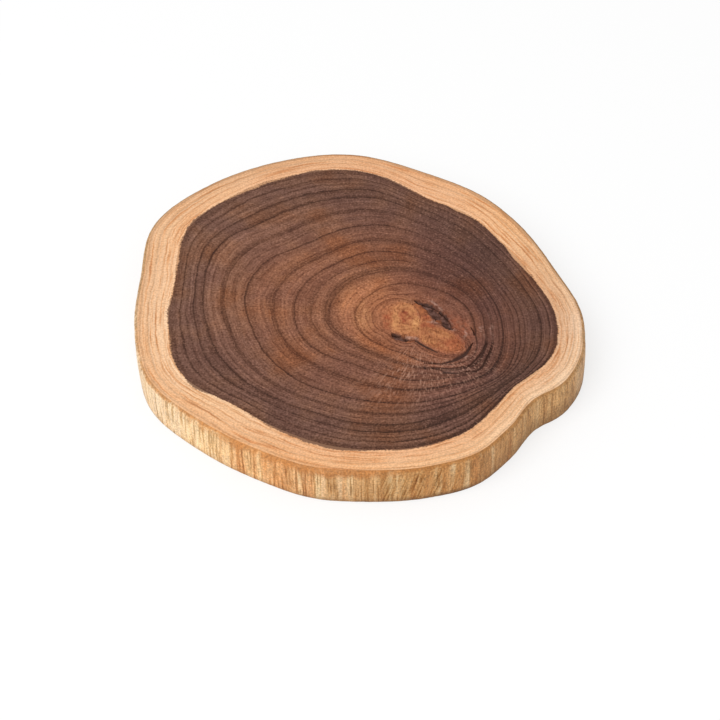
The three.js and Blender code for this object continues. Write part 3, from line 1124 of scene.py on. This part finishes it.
    def flecks(self, wood: WoodNodes, colour: Node) -> Node:
        """Scatter pale flecks, hatch the wood in front of the knot and fray the edge of the heartwood.

        Args:
            wood: The nodes that the finish starts from.
            colour: The node that gives the wood's colour.

        Returns:
            The node that gives the colour.
        """
        add = wood.add
        growth = self.growth
        fleck = add("MapRange", (wood.pores, 0.6, 0.74, 0.0, 0.3))
        fleck_here = wood.zoned(fleck, wood.bearing, {0.2: 0.35, 0.3: 0.55, 0.38: 0.55, 0.5: 0.2, 0.6: 0.6,
            0.72: 0.8, 0.82: 0.4})
        hatch = add("MapRange", (wood.rays, 0.52, 0.7, 0.0, 0.5))
        front = add("ValToRGB", (wood.bearing,), stops={0.12: 0.0, 0.18: 1.0, 0.37: 1.0, 0.45: 0.0})
        near = add("MapRange", (wood.age, 128.0, 68.0))
        past = add("MapRange", (wood.age, 29.5, 36.0))
        zone = add("Math", (front, near), **TIMES)
        zone_past = add("Math", (zone, past), **TIMES)
        hatched = add("Math", (hatch, zone_past), **TIMES)
        pale = add("Math", (fleck_here, hatched), operation="MAXIMUM")
        flecked = add("Mix", (pale, colour, linear("#BE917B")), **BLEND)
        pulled_in = add("ValToRGB", (wood.bearing,), stops={0.365: 0.0, 0.385: 0.45, 0.4: 0.4, 0.408: 0.8,
            0.424: 0.0, 0.585: 0.0, 0.6: 0.4, 0.633: 1.0, 0.65: 0.25, 0.68: 0.0, 0.692: 0.1, 0.717: 0.5,
            0.73: 0.0, 0.835: 0.0, 0.858: 0.5, 0.883: 0.0, 0.918: 0.0, 0.942: 0.4, 0.957: 0.0})
        spread_here = add("Math", (pulled_in, 3.5, self.edge_age(wood)), **TIMES_PLUS)
        frayed = add("MapRange", (spread_here, growth.heartwood_age + 0.6, growth.heartwood_age + 1.7))
        return add("Mix", (frayed, flecked, linear("#CC9A71")), **BLEND)


@dataclass(frozen=True)
class SandedSapwood(GrownWood):
    """Pale sapwood: its sanded faces are peach with fine orange lines, and its live edge, stripped of bark
    and left as it grew, is all fibre streaks, pale cream at the left and tan to olive elsewhere:
    partly its own colour, partly painted light from the left."""

    rings: Rings = (
        (159.5, 0), (161.5, 4), (163.2, -5), (164, 2), (166.5, 3), (168, -6), (168.8, 2), (171, 4),
        (172.2, -16), (172.9, 0), (175, 9), (176.2, 2), (177.1, -19), (177.8, -2), (179.5, -3),
        (180.4, -28))
    lean: float = 16.0
    fibre_depth: float = 0.08

    def make(self) -> Material:
        """Build the material."""
        wood = self.start("sanded_sapwood_with_live_edge")
        add = wood.add
        bare = add("Attribute", attribute_name="bare_edge").outputs["Fac"]
        torn = add("Math", (wood.pores, 0.4, bare), **TIMES_PLUS)
        edge = add("MapRange", (torn, 0.32, 0.6))
        face = self.sanded_face(wood)
        side, streak = self.live_edge(wood)
        whole = add("Mix", (edge, face, side), **BLEND)
        relief = add("Mix", (edge, wood.pores, streak), data_type="FLOAT")
        rough = add("MapRange", (wood.pores, 0.0, 1.0, 0.55, 0.75))
        return self.end(wood, whole, relief, rough, self.fibre_depth)

    def sanded_face(self, wood: WoodNodes) -> Node:
        """Colour the sawn faces.

        Args:
            wood: The nodes that the finish starts from.

        Returns:
            The node that gives the colour.
        """
        add = wood.add
        growth = self.growth
        depth = add("MapRange", (wood.ring, growth.heartwood_age + 3, growth.rim_age - 5))
        inner = add("ValToRGB", (wood.bearing,), stops={0.0: "#F2CBA7", 0.083: "#EEC39B", 0.167: "#E6B085",
            0.25: "#E5B086", 0.333: "#E4B185", 0.417: "#E2B189", 0.5: "#DCB18E", 0.583: "#DDAC84",
            0.667: "#F1C095", 0.75: "#EDB991", 0.833: "#E8B48B", 0.92: "#EFBF95", 1.0: "#F2CBA7"})
        outer = add("ValToRGB", (wood.bearing,), stops={0.0: "#E4B78F", 0.083: "#E6B488", 0.167: "#E6B081",
            0.25: "#EBBC90", 0.333: "#ECC39C", 0.417: "#ECC9A6", 0.5: "#EBC8A8", 0.583: "#E2B891",
            0.667: "#EBB98B", 0.75: "#E6B186", 0.833: "#DAAB83", 0.92: "#E2B68F", 1.0: "#E4B78F"})
        peach = add("Mix", (depth, inner, outer), **BLEND)
        fine = add("TexNoise", (wood.ring, 0.5, 4.0, 0.65), noise_dimensions="1D")
        lines = add("ValToRGB", (fine,), stops={0.28: "#C69668", 0.38: "#E8CCAC", 0.48: "#FCF7F0",
            0.6: "#FFFFFF"})
        fade = add("TexNoise", (wood.mm, 1 / 18, 3.0))
        share = add("MapRange", (fade, 0.35, 0.65, 0.1, 0.85))
        lined = add("Mix", (share, peach, lines), **TINT)
        streaks = add("ValToRGB", (wood.streaks,), stops={0.27: "#C99B6E", 0.36: "#E2C29F", 0.45: "#FAF3E8",
            0.58: "#FFFFFF", 0.72: "#FFFFF6"})
        smooth = add("ValToRGB", (wood.bearing,), stops={0.2: 0.0, 0.28: 0.5, 0.36: 0.65, 0.54: 0.65,
            0.62: 0.0})
        smooth_here = add("Math", (smooth, depth), **TIMES)
        streak_share = add("MapRange", (smooth_here, 0.0, 1.0, 0.75, 0.0))
        streaked = add("Mix", (streak_share, lined, streaks), **TINT)
        span = add("MapRange", (wood.ring, growth.heartwood_age, growth.rim_age))
        width = growth.rim_age - growth.heartwood_age
        ring_stops = {(age - growth.heartwood_age) / width: 0.5 + tone / 100 for age, tone in self.rings}
        ring = add("ValToRGB", (span,), stops=ring_stops)
        ring_tone = add("Math", (ring, 0.5), **PLUS)
        pore_tone = add("MapRange", (wood.pores, 0.28, 0.72, 0.83, 1.17))
        tone = add("Math", (ring_tone, pore_tone), **TIMES)
        toned = add("Mix", (1.0, streaked, tone), **TINT)
        soak = add("MapRange", (self.edge_age(wood), growth.heartwood_age + 0.7, growth.heartwood_age + 1.6,
            0.93, 0.0))
        browned = add("Mix", (soak, toned, linear("#775541")), **BLEND)
        # Painted shade: along the back the outermost rings darken, where the arris rounds away.
        back_arris_shade = add("MapRange", (wood.ring, growth.rim_age - 4.6, growth.rim_age - 2.8, 0.0, 0.45))
        back_arris_shaded = wood.zoned(back_arris_shade, wood.bearing, {0.54: 0.0, 0.6: 1.0, 0.84: 1.0, 0.92: 0.3, 0.98: 0.0})
        return add("Mix", (back_arris_shaded, browned, linear("#A67A55")), **BLEND)

    def live_edge(self, wood: WoodNodes) -> tuple[Node, Node]:
        """Colour the live edge.

        Args:
            wood: The nodes that the finish starts from.

        Returns:
            The node that gives the colour and the one that gives the fibres' relief.
        """
        add = wood.add
        upright = add("Mapping", {"Vector": wood.mm, "Scale": (1, 1, 0.05)})
        leaning = add("Mapping", {"Vector": wood.mm, "Rotation": (0, math.radians(self.lean), 0),
            "Scale": (1, 1, 14)}, vector_type="TEXTURE")
        broad = add("TexNoise", (upright, 1 / 7, 2.0))
        drift = add("MapRange", (broad, 0.0, 1.0, -0.042, 0.042))
        around = add("Math", (wood.bearing, drift), **PLUS)
        # Pale cream at the left, darker tan at the front, right and back: partly the live edge's own colour,
        # partly painted light falling from the left.
        bare = add("ValToRGB", (around,), stops={0.0: "#F0D9BD", 0.06: "#F0D4B1", 0.1: "#F2CFA0",
            0.125: "#E0A56E", 0.16: "#E4B686", 0.18: "#E4BF94", 0.2: "#D2A676", 0.23: "#C49A68",
            0.27: "#C89560", 0.31: "#BE8D5C", 0.34: "#CEA06C", 0.42: "#CEA270", 0.46: "#D2AC84",
            0.48: "#D0A880", 0.55: "#C59C72", 0.8: "#BE9872", 0.95: "#DDBD99", 1.0: "#F0D9BD"})
        straight = add("TexNoise", (upright, 1 / 1.4, 3.0, 0.65))
        slanted = add("TexNoise", (leaning, 1 / 1.4, 3.0, 0.65))
        slant = add("ValToRGB", (around,), stops={0.21: 0.0, 0.225: 1.0, 0.255: 1.0, 0.275: 0.3, 0.3: 0.0})
        streak = add("Mix", (slant, straight, slanted), data_type="FLOAT")
        streaks = add("ValToRGB", (streak,), stops={0.27: "#7C5C36", 0.4: "#CBB28A", 0.52: "#FAF4E8",
            0.66: "#FFFFFF"})
        streaky = add("ValToRGB", (around,), stops={0.0: 0.8, 0.2: 0.9, 0.26: 1.0, 0.3: 0.65, 0.45: 0.65,
            0.52: 0.85})
        patchy = add("TexNoise", (upright, 1 / 5, 2.0))
        patch_zone = add("ValToRGB", (around,), stops={0.06: 0.3, 0.14: 0.8, 0.2: 1.0, 0.28: 0.9, 0.33: 0.3,
            0.9: 0.3})
        for low, high, tone in ((0.53, 0.67, "#EBD4AC"), (0.47, 0.33, "#BC7B45")):
            patch = add("MapRange", (patchy, low, high, 0.0, 0.6))
            share = add("Math", (patch, patch_zone), **TIMES)
            bare = add("Mix", (share, bare, linear(tone)), **BLEND)
        fibrous = add("Mix", (streaky, bare, streaks), **TINT)
        short = add("Mapping", {"Vector": wood.mm, "Scale": (1, 1, 0.3)})
        dash = add("TexNoise", (short, 1 / 1.0, 1.0))
        dash_share = add("MapRange", (dash, 0.56, 0.7, 0.0, 0.8))
        dashed = wood.zoned(dash_share, around, {0.14: 0.1, 0.24: 0.5, 0.3: 0.55, 0.4: 0.75, 0.55: 0.75,
            0.7: 0.2})
        marked = add("Mix", (dashed, fibrous, linear("#7B5836")), **BLEND)
        blotch = add("TexNoise", (wood.mm, 1 / 8, 3.0, 0.6))
        blotch_tone = add("MapRange", (blotch, 0.3, 0.7, 0.9, 1.1))
        pore_tone = add("MapRange", (wood.pores, 0.28, 0.72, 0.74, 1.26))
        tone = add("Math", (blotch_tone, pore_tone), **TIMES)
        banded = self.arris_band_and_foot_shade(wood, around, broad, marked)
        speckled = add("Mix", (1.0, banded, tone), **TINT)
        return speckled, streak

    def arris_band_and_foot_shade(self, wood: WoodNodes, around: Node, broad: Node, colour: Node) -> Node:
        """Brown the live edge in a band along its arris, wide at the front left, darken it towards the bottom,
        most at the front right and right, and paint shade along its foot.

        Args:
            wood: The nodes that the finish starts from.
            around: The node that gives the bearing, drifting a little.
            broad: The node that gives broad upright streaks.
            colour: The node that gives the live edge's colour.

        Returns:
            The node that gives the colour.
        """
        add = wood.add
        height = add("SeparateXYZ", {"Vector": wood.mm}).outputs["Z"]
        uneven = add("MapRange", (broad, 0.3, 0.7, -2.0, 2.0))
        torn = add("Math", (height, uneven), **PLUS)
        wide = add("MapRange", (torn, 18.5, 22.0, 0.0, 0.85))
        wide_band = wood.zoned(wide, around, {0.06: 0.0, 0.12: 1.0, 0.2: 1.0, 0.24: 0.4, 0.28: 0.0})
        slight = add("Math", (uneven, 0.3, height), **TIMES_PLUS)
        thin = add("MapRange", (slight, 22.2, 23.6, 0.0, 0.9))
        thin_band = wood.zoned(thin, around, {0.0: 0.9, 0.08: 1.0, 0.25: 1.0, 0.42: 1.0, 0.46: 0.55,
            0.5: 0.4, 0.55: 0.9, 0.95: 0.8})
        band = add("Math", (wide_band, thin_band), operation="MAXIMUM")
        rust = add("ValToRGB", (around,), stops={0.0: "#B98654", 0.12: "#BE7E46", 0.2: "#B67640",
            0.27: "#A9723E", 0.45: "#A4794C"})
        browned = add("Mix", (band, colour, rust), **BLEND)
        # Darker towards the bottom, most at the front right and right.
        low = add("MapRange", (torn, 13.0, 4.0, 0.0, 0.45))
        low_band = wood.zoned(low, around, {0.28: 0.0, 0.34: 1.0, 0.48: 1.0, 0.55: 0.5})
        # Painted shade: a dark line along the foot of the live edge, where the board meets the table.
        foot = add("MapRange", (height, 4.4, 1.0))
        foot_shade_band = wood.zoned(foot, around, {0.04: 0.2, 0.12: 0.4, 0.2: 0.6, 0.25: 0.75, 0.27: 1.0,
            0.3: 0.7, 0.36: 0.6, 0.41: 0.75, 0.46: 0.65})
        dark = add("Math", (low_band, foot_shade_band), operation="MAXIMUM")
        return add("Mix", (dark, browned, linear("#765537")), **BLEND)


@dataclass(frozen=True)
class TrappedBark:
    """Old bark, dry and craggy: very dark where it lies deep in the pockets and brown where it has grown into
    the wood. Its colour follows the crags, darker in their hollows and paler grey on their crests: painted
    shade and painted highlight."""

    crag_mm: float = 2.5
    crag_depth: float = 0.3

    def make(self) -> Material:
        """Build the material."""
        material, add = new_material("trapped_bark")
        place = add("TexCoord")
        crag = add("TexNoise", (place.outputs["Object"], 1 / (self.crag_mm * MM), 4.0))
        # Both ramps follow the crags that the bump raises, darker in their hollows and paler on their crests:
        # painted shade and painted highlight over the bark's own dark brown.
        bark_with_painted_crag_light = add("ValToRGB", (crag,), stops={0.3: "#36231E", 0.45: "#523830", 0.58: "#6C4D44",
            0.75: "#856860"})
        brown = add("ValToRGB", (crag,), stops={0.35: "#7C4832", 0.65: "#AC6844"})
        gold = add("Attribute", attribute_name="gold")
        gold_share = add("Math", (gold.outputs["Fac"], 0.6), **TIMES)
        wood = add("Mix", (gold_share, brown, linear("#C98F60")), **BLEND)
        dark_pockets_and_crack_shade = add("Attribute", attribute_name="dark_pockets_and_crack_shade")
        colour = add("Mix", (dark_pockets_and_crack_shade.outputs["Fac"], wood, bark_with_painted_crag_light), **BLEND)
        bump = add("Bump", {"Height": crag, "Distance": self.crag_depth * MM, "Strength": 1.0})
        shader = add("BsdfPrincipled", {"Base Color": colour, "Roughness": 0.9, "Normal": bump,
            "Specular IOR Level": 0.05})
        add("OutputMaterial", {"Surface": shader})
        return material


@dataclass
class Studio:
    """The pale table, the soft light and the camera."""

    lens: float = 120.0
    sensor: float = 36.0
    camera_place: tuple[float, float, float] = (0.00032, -0.9850, 0.9623)
    camera_tilt: float = 45.0
    table_size: float = 8.0
    sky: float = 0.68
    key_place: tuple[float, float, float] = (-0.9, -0.9, 1.6)
    key_size: float = 1.6
    key_power: float = 24.0

    def add_table(self) -> None:
        """Lay the white table that the board rests on."""
        bpy.ops.object.select_all(action="DESELECT")
        bpy.ops.mesh.primitive_plane_add(size=self.table_size)
        table = bpy.context.object
        table.name = "table"
        material, add = new_material("white_paper")
        paper = add("BsdfDiffuse", {"Color": (0.98, 0.98, 0.98, 1)})
        glow = add("Emission", {"Color": (1, 1, 1, 1), "Strength": 1.0})
        path = add("LightPath")
        seen = add("Math", (path.outputs["Is Camera Ray"], path.outputs["Is Glossy Ray"]),
            operation="MAXIMUM")
        seen_all = add("Math", (seen, path.outputs["Is Transmission Ray"]), operation="MAXIMUM")
        share = add("Math", (seen_all, 0.7), **TIMES)
        both = add("MixShader", (share, paper, glow))
        add("OutputMaterial", {"Surface": both})
        table.data.materials.append(material)

    def add_light(self) -> None:
        """Light the board with a white room and one large soft lamp at the left."""
        world = bpy.data.worlds.new("white_room")
        bpy.context.scene.world = world
        world.use_nodes = True
        world.node_tree.nodes.clear()
        add = partial(add_node, world.node_tree)
        path = add("LightPath")
        strength = add("MapRange", (path.outputs["Is Camera Ray"], 0.0, 1.0, self.sky, 1.0))
        sky = add("Background", {"Color": (1, 1, 1, 1), "Strength": strength})
        add("OutputWorld", {"Surface": sky})
        bpy.ops.object.light_add(type="AREA", location=self.key_place)
        key = bpy.context.object
        key.name = "soft_lamp"
        key.data.size = self.key_size
        key.data.energy = self.key_power
        key.rotation_euler = (-Vector(self.key_place)).to_track_quat("-Z", "Y").to_euler()

    def add_camera(self) -> None:
        """Set up the camera in front of the board, looking down at it."""
        bpy.ops.object.camera_add(location=self.camera_place, rotation=(math.radians(self.camera_tilt), 0, 0))
        camera = bpy.context.object
        camera.data.lens = self.lens
        camera.data.sensor_width = self.sensor
        bpy.context.scene.camera = camera
        bpy.context.scene.view_settings.view_transform = "Standard"


def main() -> None:
    """Build the board piece by piece and set it in the studio."""
    logging.basicConfig(level=logging.INFO, format="%(message)s")
    studio = Studio()
    studio.add_camera()
    studio.add_table()
    studio.add_light()
    growth = GrowthMap()
    knot = KnotMap()
    SapwoodRim(growth, "sapwood_rim", "sapwood").build(SandedSapwood(growth).make())
    HeartwoodDisc(growth, "heartwood", "heartwood", knot).build(OiledHeartwood(growth).make())
    pith = OiledHeartwood(growth, name="oiled_pith").make()
    for stem, eye in ((Stem.LEFT, (-15.5, 8)), (Stem.RIGHT, (4, -3))):
        PithPiece(growth, stem.value, "pith", knot, stem, eye).build(pith)
    bark = TrappedBark().make()
    for crotch in Crotch:
        BarkPocket(growth, crotch.value, "bark", knot, crotch).build(bark)


if __name__ == "__main__":
    main()
